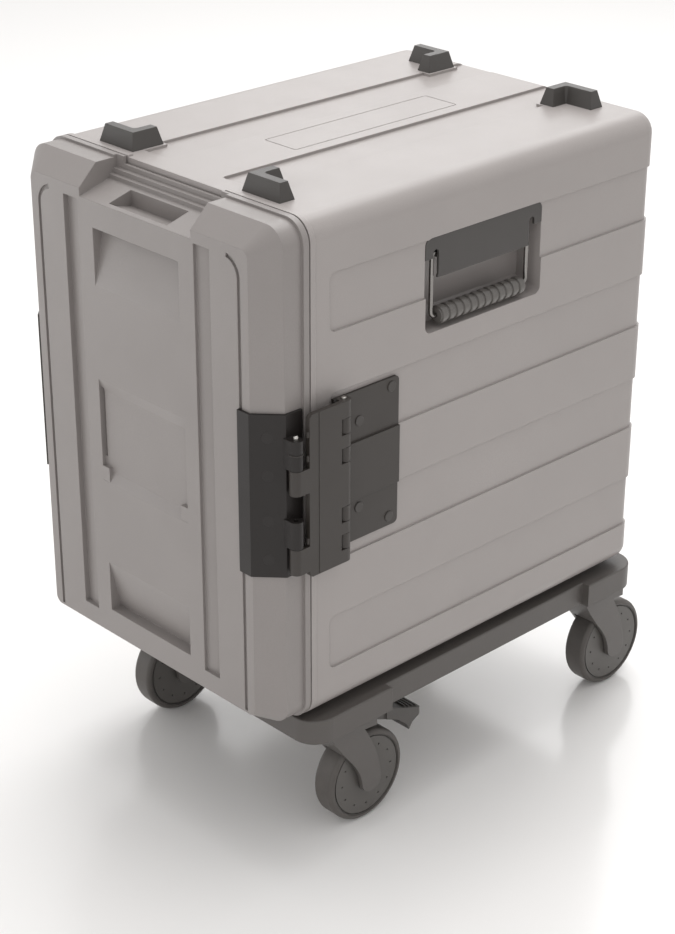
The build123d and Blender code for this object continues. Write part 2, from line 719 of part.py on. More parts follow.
def flap(side, front_pivot_y):
    """Link of the double pivot: a plate with knuckles between the body's and around the front pins."""
    outer_x = PIVOT_X + KNUCKLE_RADIUS
    front_edge_y = front_pivot_y + 13
    plate_mid_x = outer_x - FLAP_THICKNESS / 2
    plate_mid_y = (REAR_PIVOT_Y + front_edge_y) / 2
    plate_mid_z = (FLAP_BOTTOM_Z + FLAP_TOP_Z) / 2
    with BuildPart() as link:
        with Locations((side * plate_mid_x, plate_mid_y, plate_mid_z)):
            Box(FLAP_THICKNESS, REAR_PIVOT_Y - front_edge_y, FLAP_TOP_Z - FLAP_BOTTOM_Z)
        fillet(link.edges().filter_by(Axis.X).group_by(Axis.Y)[0], 6)
        with Locations((side * outer_x, front_edge_y + 14, plate_mid_z)):
            Box(1.6, 1.2, FLAP_TOP_Z - FLAP_BOTTOM_Z, mode=Mode.SUBTRACT)
        add(knuckle(side * PIVOT_X, REAR_PIVOT_Y, FLAP_BOTTOM_Z, FLAP_TOP_Z))
        for low_z, high_z in BODY_KNUCKLES:
            with Locations((side * PIVOT_X, REAR_PIVOT_Y + 5, (low_z + high_z) / 2)):
                Box(30, 30, high_z - low_z + 1, mode=Mode.SUBTRACT)
        for low_z, high_z in FLAP_KNUCKLES:
            with Locations((side * plate_mid_x, front_pivot_y + 7, (low_z + high_z) / 2)):
                Box(FLAP_THICKNESS, 14, high_z - low_z)
            add(knuckle(side * PIVOT_X, front_pivot_y, low_z, high_z))
        rear_bore = pivot_bore(side * PIVOT_X, REAR_PIVOT_Y, PIN_RADIUS + RUNNING_CLEARANCE)
        add(rear_bore, mode=Mode.SUBTRACT)
        add(pivot_bore(side * PIVOT_X, front_pivot_y, PIN_RADIUS), mode=Mode.SUBTRACT)
    return link.part


def front_pins(side, front_pivot_y):
    """Two steel pins held in the flap's front knuckles; each stands up into the door's knuckle above it."""
    with BuildPart() as pins:
        for index, (low_z, high_z) in enumerate(FLAP_KNUCKLES):
            tip_z = DOOR_KNUCKLES[index][1] + (5 if index else -6)
            with Locations((side * PIVOT_X, front_pivot_y, (low_z + tip_z) / 2)):
                Cylinder(PIN_RADIUS, tip_z - low_z)
        tips = pins.faces().filter_by(Axis.Z).sort_by(Axis.Z)
        fillet(tips[-1].edges(), 2)
    return pins.part


def rear_pin(side):
    """Steel pin through the knuckles of the body plate and the flap."""
    with BuildPart() as pin:
        with Locations((side * PIVOT_X, REAR_PIVOT_Y, (FLAP_BOTTOM_Z + FLAP_TOP_Z) / 2)):
            Cylinder(PIN_RADIUS, FLAP_TOP_Z - FLAP_BOTTOM_Z + 4)
        fillet(pin.edges(), 1)
    return pin.part


def door_plate_outline(side, front_points):
    """Strip that follows the facet and the side of the door, seen from above."""
    door_side_x = HALF_WIDTH - SIDE_SETBACK
    corners = [*front_points, (door_side_x, FACET_BACK_Y), (door_side_x, SEAM_Y - 13)]
    with BuildSketch() as outline:
        with BuildLine() as path:
            Polyline(*[(side * x, y) for x, y in corners])
            offset(
                path.line,
                amount=PLATE_THICKNESS,
                side=Side.RIGHT if side > 0 else Side.LEFT,
                kind=Kind.INTERSECTION,
            )
        make_face()
    return outline.sketch


def door_plate(side, front_points, front_pivot_y):
    """Plate on the door's edge with the two knuckles of the front pivot."""
    web_x = HALF_WIDTH - 1
    with BuildPart() as plate:
        with BuildSketch(Plane.XY.offset(FLAP_BOTTOM_Z)):
            add(door_plate_outline(side, front_points))
        extrude(amount=FLAP_TOP_Z - FLAP_BOTTOM_Z)
        for low_z, high_z in DOOR_KNUCKLES:
            web_mid = (side * (web_x + PIVOT_X) / 2, front_pivot_y - 2, (low_z + high_z) / 2)
            with Locations(web_mid):
                Box(PIVOT_X - web_x, 12, high_z - low_z)
            add(knuckle(side * PIVOT_X, front_pivot_y, low_z, high_z))
        bore = pivot_bore(side * PIVOT_X, front_pivot_y, PIN_RADIUS + RUNNING_CLEARANCE)
        add(bore, mode=Mode.SUBTRACT)
        add(DOOR_OUTER, mode=Mode.SUBTRACT)
    return plate.part


def screws(side):
    """Four flush screws square to the door's facet."""
    facet_width = HALF_WIDTH - SIDE_SETBACK - FRONT_HALF_WIDTH
    facet_depth = FACET_BACK_Y - DOOR_FRONT_Y
    outward = Vector(side * facet_depth, -facet_width, 0).normalized()
    facet_mid_x = FRONT_HALF_WIDTH + facet_width / 2
    facet_mid_y = DOOR_FRONT_Y + facet_depth / 2
    surface = Vector(side * facet_mid_x, facet_mid_y, 0) + outward * PLATE_THICKNESS
    with BuildPart() as group:
        for height in SCREW_Z:
            seat = Plane(origin=surface + Vector(0, 0, height), z_dir=outward)
            with BuildSketch(seat):
                Circle(SCREW_HEAD_RADIUS)
            extrude(amount=-1.5)
            with BuildSketch(seat):
                Circle(SCREW_RADIUS)
            extrude(amount=-6.0)
    return group.part


HINGE_SCREWS = screws(1)
LATCH_SCREWS = screws(-1)

with BuildPart() as drilled_door_shell:
    add(door_outer_shell.part)
    add(HINGE_SCREWS, mode=Mode.SUBTRACT)
    add(LATCH_SCREWS, mode=Mode.SUBTRACT)
save(drilled_door_shell.part, "door_outer_shell")

# the hinge plate wraps on to the front face; the latch plate ends on the facet
HINGE_PLATE_FRONT = [(173.0, DOOR_FRONT_Y), (FRONT_HALF_WIDTH, DOOR_FRONT_Y)]
LATCH_PLATE_FRONT = [(198.3, SEAM_Y - 55.1)]

save(body_plate(1), "hinge_body_plate")
save(body_rivets(1), "hinge_body_rivets")
save(rear_pin(1), "hinge_rear_pin")
save(flap(1, HINGE_FRONT_Y), "hinge_link_flap")
save(front_pins(1, HINGE_FRONT_Y), "hinge_front_pins")
save(HINGE_SCREWS, "hinge_door_screws")

with BuildPart() as hinge_door_plate:
    add(door_plate(1, HINGE_PLATE_FRONT, HINGE_FRONT_Y))
    add(HINGE_SCREWS, mode=Mode.SUBTRACT)
save(hinge_door_plate.part, "hinge_door_plate")

save(body_plate(-1), "latch_body_plate")
save(body_rivets(-1), "latch_body_rivets")
save(rear_pin(-1), "latch_rear_pin")
save(front_pins(-1, LATCH_FRONT_Y), "latch_bars")
save(LATCH_SCREWS, "latch_door_screws")

# the latch flap has a finger lip ahead of its front edge
with BuildPart() as latch_flap:
    add(flap(-1, LATCH_FRONT_Y))
    with Locations((-(PIVOT_X + KNUCKLE_RADIUS - 2), LATCH_FRONT_Y + 13 - LIP_REACH / 2, 505)):
        Box(4, LIP_REACH, 30)
    fillet(latch_flap.edges().filter_by(Axis.X).group_by(Axis.Y)[0], 5)
save(latch_flap.part, "latch_flap")

# its saddles are open to the outside and the rear, so that the bars can leave them
with BuildPart() as latch_door_plate:
    add(door_plate(-1, LATCH_PLATE_FRONT, LATCH_FRONT_Y))
    opening_x = -(PIVOT_X + SADDLE_OPENING / 2)
    with Locations((opening_x, LATCH_FRONT_Y + SADDLE_OPENING / 2 - PIN_RADIUS, DOOR_MID_Z)):
        Box(SADDLE_OPENING, SADDLE_OPENING, BODY_HEIGHT, mode=Mode.SUBTRACT)
    add(LATCH_SCREWS, mode=Mode.SUBTRACT)
save(latch_door_plate.part, "latch_door_plate")


# ============================================================================
# Carrying handles
# ============================================================================


def handle_plate(side):
    """Plate over the top of the pocket, slotted at both ends for the arms of the bail."""
    low_z = POCKET_BOTTOM_Z + 64
    outline_width = POCKET_LENGTH - 0.6
    with BuildPart() as plate:
        with BuildSketch(plane_x(side * (HALF_WIDTH - 5))) as outline:
            with Locations((POCKET_MID_Y, (low_z + POCKET_TOP_Z) / 2)):
                Rectangle(outline_width, POCKET_TOP_Z - low_z - 0.6)
            fillet(outline.vertices().group_by(Axis.Y)[-1], 8.6)
            for end in (-1, 1):
                with Locations((POCKET_MID_Y + end * (POCKET_LENGTH / 2 - 7), low_z + 8)):
                    Rectangle(28, 34, mode=Mode.SUBTRACT)
                with Locations((POCKET_MID_Y + end * HANDLE_HALF_SPAN, low_z + 18)):
                    SlotOverall(34, 9, rotation=90, mode=Mode.SUBTRACT)
        extrude(amount=side * 3)
        for end in (-1, 1):
            boss_y = POCKET_MID_Y + end * (HANDLE_HALF_SPAN - 14)
            with Locations((side * (HANDLE_PIVOT_X + 1), boss_y, HANDLE_PIVOT_Z)):
                Box(10, 12, 14)
        with Locations(Location((side * HANDLE_PIVOT_X, POCKET_MID_Y, HANDLE_PIVOT_Z), (90, 0, 0))):
            Cylinder(WIRE_RADIUS + RUNNING_CLEARANCE, POCKET_LENGTH, mode=Mode.SUBTRACT)
    return plate.part


def handle_bail(side):
    """Bent steel wire: stub, arm, bar, arm, stub."""
    low_z = HANDLE_PIVOT_Z - HANDLE_DROP
    bend = 7.0
    stub = 20.0
    span = HANDLE_HALF_SPAN
    with BuildPart() as bail:
        with BuildLine() as path:
            FilletPolyline(
                (side * HANDLE_PIVOT_X, POCKET_MID_Y - span + stub, HANDLE_PIVOT_Z),
                (side * HANDLE_PIVOT_X, POCKET_MID_Y - span, HANDLE_PIVOT_Z),
                (side * HANDLE_PIVOT_X, POCKET_MID_Y - span, low_z),
                (side * HANDLE_PIVOT_X, POCKET_MID_Y + span, low_z),
                (side * HANDLE_PIVOT_X, POCKET_MID_Y + span, HANDLE_PIVOT_Z),
                (side * HANDLE_PIVOT_X, POCKET_MID_Y + span - stub, HANDLE_PIVOT_Z),
                radius=bend,
            )
        with BuildSketch(Plane(origin=path.line @ 0, z_dir=path.line % 0)):
            Circle(WIRE_RADIUS)
        sweep()
    return bail.part


def handle_grip(side):
    """Ribbed tube around the bail's bar."""
    length = 2 * (HANDLE_HALF_SPAN - 9)
    low_z = HANDLE_PIVOT_Z - HANDLE_DROP
    pitch = length / GRIP_RIBS
    with BuildPart() as grip:
        with Locations(Location((side * HANDLE_PIVOT_X, POCKET_MID_Y, low_z), (90, 0, 0))):
            Cylinder(GRIP_RADIUS - 1.8, length)
        for index in range(GRIP_RIBS):
            rib_y = POCKET_MID_Y - length / 2 + (index + 0.5) * pitch
            with Locations(Location((side * HANDLE_PIVOT_X, rib_y, low_z), (90, 0, 0))):
                Cylinder(GRIP_RADIUS, pitch * 0.68)
        round_edges = grip.edges().filter_by(GeomType.CIRCLE)
        fillet(round_edges.filter_by(lambda edge: edge.radius > GRIP_RADIUS - 0.5), 1.5)
        with Locations(Location((side * HANDLE_PIVOT_X, POCKET_MID_Y, low_z), (90, 0, 0))):
            Cylinder(WIRE_RADIUS, length + 2, mode=Mode.SUBTRACT)
    return grip.part


for side, side_name in ((1, "right"), (-1, "left")):
    save(handle_plate(side), f"handle_plate_{side_name}")
    save(handle_bail(side), f"handle_bail_{side_name}")
    save(handle_grip(side), f"handle_grip_{side_name}")


# ============================================================================
# Trolley frame
# ============================================================================

TROLLEY_BOTTOM_Z = TROLLEY_TOP_Z - TROLLEY_HEIGHT
CASTORS = {
    "front_right": (SWIVEL_X, SWIVEL_FRONT_Y),
    "front_left": (-SWIVEL_X, SWIVEL_FRONT_Y),
    "rear_right": (SWIVEL_X, SWIVEL_REAR_Y),
    "rear_left": (-SWIVEL_X, SWIVEL_REAR_Y),
}
SKIRT = 5.0
DECK = 6.0
BOSS_RADIUS = 34.0
STEM_RADIUS = 9.0


def trolley_window():
    """Opening in the middle of the trolley."""
    with BuildSketch() as window:
        with Locations((0, (SWIVEL_FRONT_Y + SWIVEL_REAR_Y) / 2)):
            RectangleRounded(270, 330, 30)
    return window.sketch


with BuildPart() as trolley_frame:
    with BuildSketch(Plane.XY.offset(TROLLEY_BOTTOM_Z)) as footprint:
        middle_y = (TROLLEY_FRONT_Y + TROLLEY_REAR_Y) / 2
        length = TROLLEY_REAR_Y - TROLLEY_FRONT_Y
        rear_pad_length = PAD_LENGTH - 30
        with Locations((0, middle_y)):
            Rectangle(2 * RAIL_HALF_WIDTH, length - 60)
        with Locations((0, TROLLEY_FRONT_Y + PAD_LENGTH / 2)):
            Rectangle(2 * PAD_HALF_WIDTH, PAD_LENGTH)
        with Locations((0, TROLLEY_REAR_Y - rear_pad_length / 2)):
            Rectangle(2 * PAD_HALF_WIDTH, rear_pad_length)
        front_corners = footprint.vertices().group_by(Axis.Y)[0]
        rear_corners = footprint.vertices().group_by(Axis.Y)[-1]
        fillet(front_corners + rear_corners, 32)
        add(trolley_window(), mode=Mode.SUBTRACT)
    extrude(amount=TROLLEY_HEIGHT)
    top_edges = trolley_frame.faces().sort_by(Axis.Z)[-1].edges()
    fillet(top_edges, 2)
    with BuildSketch(Plane.XY.offset(TROLLEY_BOTTOM_Z)):
        offset(footprint.sketch, amount=-SKIRT, kind=Kind.INTERSECTION)
    extrude(amount=TROLLEY_HEIGHT - DECK, mode=Mode.SUBTRACT)
    rib_height = TROLLEY_HEIGHT - DECK
    rib_mid_z = TROLLEY_BOTTOM_Z + rib_height / 2
    for rib_y in (SWIVEL_FRONT_Y, SWIVEL_FRONT_Y + 44, SWIVEL_REAR_Y - 40, SWIVEL_REAR_Y):
        with Locations((0, rib_y, rib_mid_z)):
            Box(2 * RAIL_HALF_WIDTH - 2, SKIRT, rib_height)
    for rib_x in (-SWIVEL_X, SWIVEL_X):
        with Locations((rib_x, (SWIVEL_FRONT_Y + SWIVEL_REAR_Y) / 2, rib_mid_z)):
            Box(SKIRT, SWIVEL_REAR_Y - SWIVEL_FRONT_Y, rib_height)
    for castor_x, castor_y in CASTORS.values():
        with Locations((castor_x, castor_y, rib_mid_z)):
            Cylinder(BOSS_RADIUS, rib_height)
    add(stud_group(TROLLEY_TOP_Z, STUD_HEIGHT + BODY_BOTTOM_Z - TROLLEY_TOP_Z, 0, STUD_TAPER))
    for castor_x, castor_y in CASTORS.values():
        with Locations((castor_x, castor_y, TROLLEY_BOTTOM_Z)):
            Cylinder(STEM_RADIUS, 40, mode=Mode.SUBTRACT)
save(trolley_frame.part, "trolley_frame")


# ============================================================================
# Castors: mount, fork, axle, wheel, tyre and, at the front, a brake pedal
# ============================================================================

PIVOT_STUB_RADIUS = 11.0
CROWN_Z = 150.0
AXLE_RADIUS = 5.0
WELL_RADIUS = WHEEL_RADIUS + 3.0
WELL_WIDTH = WHEEL_WIDTH + 3.0
FORK_WIDTH = 48.0
AXLE_LENGTH = FORK_WIDTH - 4.0
HUB_RADIUS = 55.5
DIMPLE_CIRCLE = 42.0
DIMPLE_COUNT = 12
DIMPLE_RADIUS = 1.3
BRAKE_PIN_LENGTH = FORK_WIDTH - 4.0
PEDAL_PIVOT_BACK = 40.0
PEDAL_PIVOT_Z = 151.0
PEDAL_ROOT_WIDTH = 33.0
PEDAL_TIP_WIDTH = 38.0


def castor_mount(x, y):
    """Disc under the trolley with a stem above it and the swivel stub below it."""
    with BuildPart() as mount:
        with Locations((x, y, (FORK_TOP_Z + 0.6 + TROLLEY_BOTTOM_Z) / 2)):
            Cylinder(30, TROLLEY_BOTTOM_Z - FORK_TOP_Z - 0.6)
        with Locations((x, y, TROLLEY_BOTTOM_Z + 9)):
            Cylinder(STEM_RADIUS, 18)
        with Locations((x, y, (CROWN_Z + 2 + TROLLEY_BOTTOM_Z) / 2)):
            Cylinder(PIVOT_STUB_RADIUS, TROLLEY_BOTTOM_Z - CROWN_Z - 2)
    return mount.part


def castor_fork(x, y, braked):
    """Moulded fork: a hood over the wheel that narrows to a leaf on each side of the hub."""
    axle_y = y + TRAIL
    crown_front = (y - 30, FORK_TOP_Z)
    chin = (y - 31, FORK_TOP_Z - 18)
    tip_front = (axle_y - 15, WHEEL_RADIUS - 7)
    tip_low = (axle_y + 2, WHEEL_RADIUS - 20)
    tip_rear = (axle_y + 17, WHEEL_RADIUS)
    waist = (axle_y - 12, CROWN_Z - 11)
    crown_low = (axle_y + 9, CROWN_Z - 13)
    crown_rear = (y + 49, FORK_TOP_Z - 12)
    crown_back = (y + 41, FORK_TOP_Z)
    with BuildPart() as fork:
        with BuildSketch(plane_x(x - FORK_WIDTH / 2)):
            with BuildLine():
                Line(crown_front, chin)
                Spline(chin, (y - 2, 108), tip_front, tangents=[(0.55, -1), (0.1, -1)])
                ThreePointArc(tip_front, tip_low, tip_rear)
                Spline(tip_rear, (axle_y + 5, 107), waist)
                Polyline(waist, crown_low, crown_rear, crown_back, crown_front)
            make_face()
        extrude(amount=FORK_WIDTH)
        with Locations(Location((x, axle_y, WHEEL_RADIUS), (0, 90, 0))):
            Cylinder(WELL_RADIUS, WELL_WIDTH, mode=Mode.SUBTRACT)
        with Locations((x, axle_y, WHEEL_RADIUS - WELL_RADIUS / 2)):
            Box(WELL_WIDTH, 2 * WELL_RADIUS, WELL_RADIUS, mode=Mode.SUBTRACT)
        with Locations((x, y, (CROWN_Z + FORK_TOP_Z) / 2)):
            stub_bore_radius = PIVOT_STUB_RADIUS + RUNNING_CLEARANCE
            Cylinder(stub_bore_radius, FORK_TOP_Z - CROWN_Z, mode=Mode.SUBTRACT)
        with Locations(Location((x, axle_y, WHEEL_RADIUS), (0, 90, 0))):
            Cylinder(AXLE_RADIUS, AXLE_LENGTH, mode=Mode.SUBTRACT)
        if braked:
            slot_bottom_z = CROWN_Z - 32
            with Locations((x, y + PEDAL_PIVOT_BACK + 10, (slot_bottom_z + FORK_TOP_Z) / 2)):
                Box(PEDAL_ROOT_WIDTH + 1.4, 40, FORK_TOP_Z - slot_bottom_z, mode=Mode.SUBTRACT)
            with Locations(Location((x, y + PEDAL_PIVOT_BACK, PEDAL_PIVOT_Z), (0, 90, 0))):
                Cylinder(PIN_RADIUS, BRAKE_PIN_LENGTH, mode=Mode.SUBTRACT)
    return fork.part


def castor_axle(x, y):
    """Steel axle held in blind bores in the fork's two leaves."""
    with BuildPart() as axle:
        with Locations(Location((x, y + TRAIL, WHEEL_RADIUS), (0, 90, 0))):
            Cylinder(AXLE_RADIUS, AXLE_LENGTH)
    return axle.part


def castor_wheel(x, y):
    """Wheel centre: flat discs with a shallow ring and small dimples, on a hub bored for the axle."""
    axle_y = y + TRAIL
    with BuildPart() as wheel:
        with Locations(Location((x, axle_y, WHEEL_RADIUS), (0, 90, 0))):
            Cylinder(HUB_RADIUS, WHEEL_WIDTH - 2)
            Cylinder(AXLE_RADIUS + 9, WHEEL_WIDTH + 1)
            Cylinder(AXLE_RADIUS + RUNNING_CLEARANCE, WHEEL_WIDTH + 10, mode=Mode.SUBTRACT)
        for face_side in (-1, 1):
            with BuildSketch(plane_x(x + face_side * (WHEEL_WIDTH / 2 - 1))):
                with Locations((axle_y, WHEEL_RADIUS)):
                    Circle(HUB_RADIUS - 1)
                    Circle(HUB_RADIUS - 2.6, mode=Mode.SUBTRACT)
                    with PolarLocations(DIMPLE_CIRCLE, DIMPLE_COUNT):
                        Circle(DIMPLE_RADIUS)
            extrude(amount=-face_side * 2, mode=Mode.SUBTRACT)
    return wheel.part


def castor_tyre(x, y):
    """Rounded tread moulded around the wheel centre."""
    with BuildPart() as tyre:
        with Locations(Location((x, y + TRAIL, WHEEL_RADIUS), (0, 90, 0))):
            Cylinder(WHEEL_RADIUS, WHEEL_WIDTH)
        fillet(tyre.edges().filter_by(GeomType.CIRCLE), 6)
        with Locations(Location((x, y + TRAIL, WHEEL_RADIUS), (0, 90, 0))):
            Cylinder(HUB_RADIUS, WHEEL_WIDTH + 10, mode=Mode.SUBTRACT)
    return tyre.part


def brake_pedal(x, y):
    """Foot pedal hinged in the hood's slot; its ribbed tip hangs behind the wheel."""
    pivot_y = y + PEDAL_PIVOT_BACK
    tip_top = [(pivot_y + 60, 136), (pivot_y + 92, 124), (pivot_y + 92, 117)]
    tip_under = [(pivot_y + 76, 109), (pivot_y + 70, 100), (pivot_y + 66, 109), (pivot_y + 50, 123)]
    with BuildPart() as pedal:
        with BuildSketch(plane_x(x - PEDAL_ROOT_WIDTH / 2)):
            with BuildLine():
                Polyline(
                    (pivot_y, PEDAL_PIVOT_Z + 7),
                    *tip_top[:1],
                    *tip_under[-1:],
                    (pivot_y, PEDAL_PIVOT_Z - 7),
                    close=True,
                )
            make_face()
            with Locations((pivot_y, PEDAL_PIVOT_Z)):
                Circle(7)
        extrude(amount=PEDAL_ROOT_WIDTH)
        with BuildSketch(plane_x(x - PEDAL_TIP_WIDTH / 2)):
            with BuildLine():
                Polyline((pivot_y + 30, 148.5), *tip_top, *tip_under, (pivot_y + 30, 132), close=True)
            make_face()
        extrude(amount=PEDAL_TIP_WIDTH)
        fillet(pedal.edges().filter_by(Axis.Z).group_by(Axis.Y)[-1], 6)
        for index in range(4):
            rib_y = pivot_y + 65 + 7 * index
            with Locations(Location((x, rib_y, 134.5 - 2.625 * index), (-20.6, 0, 0))):
                Box(PEDAL_TIP_WIDTH - 8, 3, 2.4)
        with Locations(Location((x, pivot_y, PEDAL_PIVOT_Z), (0, 90, 0))):
            Cylinder(PIN_RADIUS + RUNNING_CLEARANCE, FORK_WIDTH, mode=Mode.SUBTRACT)
    return pedal.part


def brake_pin(x, y):
    """Steel pin across the hood that the pedal turns on."""
    with BuildPart() as pin:
        with Locations(Location((x, y + PEDAL_PIVOT_BACK, PEDAL_PIVOT_Z), (0, 90, 0))):
            Cylinder(PIN_RADIUS, BRAKE_PIN_LENGTH)
    return pin.part


for corner, (castor_x, castor_y) in CASTORS.items():
    braked = castor_y == SWIVEL_FRONT_Y
    save(castor_mount(castor_x, castor_y), f"castor_mount_{corner}")
    save(castor_fork(castor_x, castor_y, braked), f"castor_fork_{corner}")
    save(castor_axle(castor_x, castor_y), f"castor_axle_{corner}")
    save(castor_wheel(castor_x, castor_y), f"castor_wheel_{corner}")
    save(castor_tyre(castor_x, castor_y), f"castor_tyre_{corner}")
    if braked:
        save(brake_pedal(castor_x, castor_y), f"brake_pedal_{corner}")
        save(brake_pin(castor_x, castor_y), f"brake_pin_{corner}")
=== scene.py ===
"""Studio scene of an insulated food carrier with a hinged door, standing on its castor trolley."""

import json
import math

import bmesh
import bpy
from mathutils import Euler, Matrix, Vector


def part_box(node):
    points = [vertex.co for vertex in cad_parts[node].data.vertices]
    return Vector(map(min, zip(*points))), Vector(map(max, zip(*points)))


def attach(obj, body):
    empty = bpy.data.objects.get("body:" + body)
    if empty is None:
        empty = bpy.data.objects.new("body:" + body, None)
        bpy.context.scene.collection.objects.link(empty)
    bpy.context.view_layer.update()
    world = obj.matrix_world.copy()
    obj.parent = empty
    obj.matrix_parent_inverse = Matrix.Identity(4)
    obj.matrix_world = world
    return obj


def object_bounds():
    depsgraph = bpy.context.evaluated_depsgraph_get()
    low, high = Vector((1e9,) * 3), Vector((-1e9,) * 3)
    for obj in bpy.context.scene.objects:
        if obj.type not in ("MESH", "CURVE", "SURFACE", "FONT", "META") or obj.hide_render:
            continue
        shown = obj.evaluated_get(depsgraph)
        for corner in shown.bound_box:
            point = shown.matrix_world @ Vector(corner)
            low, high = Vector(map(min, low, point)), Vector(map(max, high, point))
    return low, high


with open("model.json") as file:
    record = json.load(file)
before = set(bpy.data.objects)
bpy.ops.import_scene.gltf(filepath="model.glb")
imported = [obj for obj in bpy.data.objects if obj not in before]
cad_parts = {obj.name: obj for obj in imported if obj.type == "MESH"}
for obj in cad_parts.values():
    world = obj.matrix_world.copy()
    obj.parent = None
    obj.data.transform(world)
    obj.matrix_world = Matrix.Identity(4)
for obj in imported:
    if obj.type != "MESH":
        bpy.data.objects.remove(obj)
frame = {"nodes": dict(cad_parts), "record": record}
CAD_LOW, CAD_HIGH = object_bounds()
NODES = frame["nodes"]
CENTRE = (CAD_LOW + CAD_HIGH) / 2

# ---------------------------------------------------------------- camera

CAMERA_PLACE = Vector((1.772, -1.7377, 1.5702))
CAMERA_YAW = 46.28
CAMERA_PITCH = 25.92
CAMERA_ROLL = 0.15
CAMERA_LENS = 81.65
SENSOR_WIDTH = 36.0


def add_camera():
    """The photograph's view, as nearly as a camera without lens shift gives it."""
    data = bpy.data.cameras.new("camera")
    data.sensor_width = SENSOR_WIDTH
    data.lens = CAMERA_LENS
    data.clip_end = 100.0
    camera = bpy.data.objects.new("camera", data)
    bpy.context.scene.collection.objects.link(camera)
    camera.location = CAMERA_PLACE
    tilt = math.radians(90 - CAMERA_PITCH)
    turn = Euler((tilt, 0.0, math.radians(CAMERA_YAW)), "XYZ").to_matrix()
    roll = Euler((0.0, 0.0, math.radians(CAMERA_ROLL)), "XYZ").to_matrix()
    camera.rotation_euler = (turn @ roll).to_euler()
    bpy.context.scene.camera = camera


add_camera()

# ---------------------------------------------------------------- materials

# the colour sockets of a Mix node, which share their names with its other types
MIX_COLOUR_A = 6
MIX_COLOUR_B = 7
MIX_COLOUR_RESULT = 2
BEVEL_SAMPLES = 4


class Graph:
    """Builds one procedural material, node by node."""

    def __init__(self, name):
        self.material = bpy.data.materials.new(name)
        self.material.use_nodes = True
        self.tree = self.material.node_tree
        self.tree.nodes.clear()
        self.output = self.node("ShaderNodeOutputMaterial")
        self.shader = self.node("ShaderNodeBsdfPrincipled")
        self.link(self.shader, "BSDF", self.output, "Surface")
        self.place = self.node("ShaderNodeTexCoord")

    def node(self, kind, **values):
        made = self.tree.nodes.new(kind)
        for key, value in values.items():
            setattr(made, key, value)
        return made

    def link(self, source, output, target, name):
        self.tree.links.new(source.outputs[output], target.inputs[name])

    def stretched(self, scale):
        """The object's own coordinates, stretched, for grain that runs one way."""
        mapping = self.node("ShaderNodeMapping")
        mapping.inputs["Scale"].default_value = scale
        self.link(self.place, "Object", mapping, "Vector")
        return mapping, "Vector"

    def noise(self, scale, detail=3.0, roughness=0.5, stretch=None):
        made = self.node("ShaderNodeTexNoise")
        made.inputs["Scale"].default_value = scale
        made.inputs["Detail"].default_value = detail
        made.inputs["Roughness"].default_value = roughness
        source, socket = (self.place, "Object") if stretch is None else self.stretched(stretch)
        self.link(source, socket, made, "Vector")
        return made, "Fac"

    def spread(self, value, low, high, to_low, to_high):
        """Maps a value from low..high to to_low..to_high, held at both ends."""
        made = self.node("ShaderNodeMapRange")
        ends = {"From Min": low, "From Max": high, "To Min": to_low, "To Max": to_high}
        for key, number in ends.items():
            made.inputs[key].default_value = number
        self.link(*value, made, "Value")
        return made, "Result"

    def maths(self, operation, first, second):
        """Each of the two is a number or an earlier result."""
        made = self.node("ShaderNodeMath", operation=operation)
        for index, value in enumerate((first, second)):
            if isinstance(value, tuple):
                self.link(*value, made, index)
            else:
                made.inputs[index].default_value = value
        return made, "Value"

    def blend(self, share, first, second):
        """Mixes two colours by share. Each is a colour or an earlier result."""
        made = self.node("ShaderNodeMix", data_type="RGBA")
        self.link(*share, made, 0)
        for index, value in ((MIX_COLOUR_A, first), (MIX_COLOUR_B, second)):
            if isinstance(value[0], float):
                made.inputs[index].default_value = (*value, 1.0)
            else:
                self.link(*value, made, index)
        return made, MIX_COLOUR_RESULT

    def edges(self, radius):
        """Close to 1 on edges sharper than the radius, 0 on open faces."""
        bevel = self.node("ShaderNodeBevel", samples=BEVEL_SAMPLES)
        bevel.inputs["Radius"].default_value = radius
        plain = self.node("ShaderNodeNewGeometry")
        alike = self.node("ShaderNodeVectorMath", operation="DOT_PRODUCT")
        self.link(bevel, "Normal", alike, 0)
        self.link(plain, "Normal", alike, 1)
        return self.spread((alike, "Value"), 0.75, 0.99, 1.0, 0.0)

    def rounded(self, radius):
        """A normal that shades sharp edges as if they were rounded."""
        bevel = self.node("ShaderNodeBevel", samples=BEVEL_SAMPLES)
        bevel.inputs["Radius"].default_value = radius
        return bevel, "Normal"

    def bump(self, height, distance, strength=1.0, normal=None):
        made = self.node("ShaderNodeBump")
        made.inputs["Strength"].default_value = strength
        made.inputs["Distance"].default_value = distance
        self.link(*height, made, "Height")
        if normal is not None:
            self.link(*normal, made, "Normal")
        return made, "Normal"

    def set(self, **values):
        """Fills the shader's sockets, _ standing for a space, and gives back the material."""
        for key, value in values.items():
            name = key.replace("_", " ")
            if isinstance(value, tuple) and isinstance(value[0], bpy.types.Node):
                self.link(*value, self.shader, name)
            else:
                self.shader.inputs[name].default_value = value
        return self.material


# how far past its rounding an edge is lightened, as rubbed wear and painted highlight
EDGE_WEAR_AND_HIGHLIGHT_REACH = 1.3


def shade(colour, factor):
    """The colour, lighter or darker by the factor."""
    return tuple(min(1.0, channel * factor) for channel in colour)


